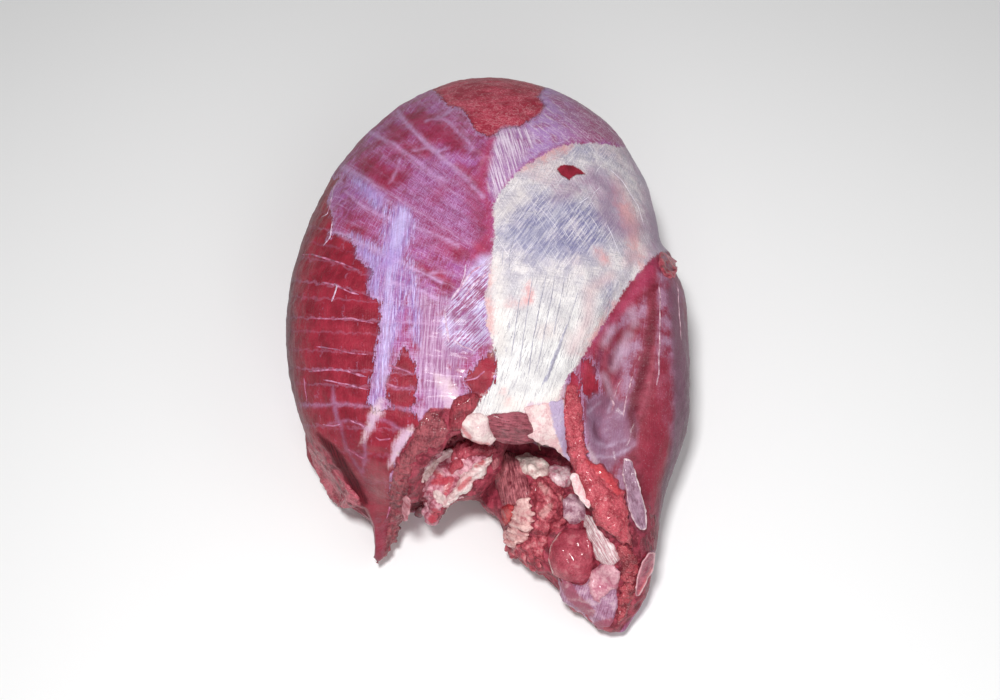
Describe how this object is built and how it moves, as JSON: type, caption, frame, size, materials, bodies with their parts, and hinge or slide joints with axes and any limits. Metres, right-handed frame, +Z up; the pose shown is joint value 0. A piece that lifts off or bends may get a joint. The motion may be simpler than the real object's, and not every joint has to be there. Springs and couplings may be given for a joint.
{
  "type": "raw beef thick flank",
  "caption": "Whole boneless raw beef joint, domed and round, with a white silverskin panel, a red grained side and a torn knee end open at the front.",
  "frame": {"origin": "middle of the box's underside, on the table", "axes": "+Z up, +Y along the joint's length towards its rounded hip end, the torn knee end at -Y, +X towards the medial muscle"},
  "size_m": [0.2294, 0.3318, 0.1433],
  "materials": {
    "meat": "wet raw meat with silverskin"
  },
  "bodies": {
    "root": {"thick_flank": "meat"}
  },
  "joints": []
}
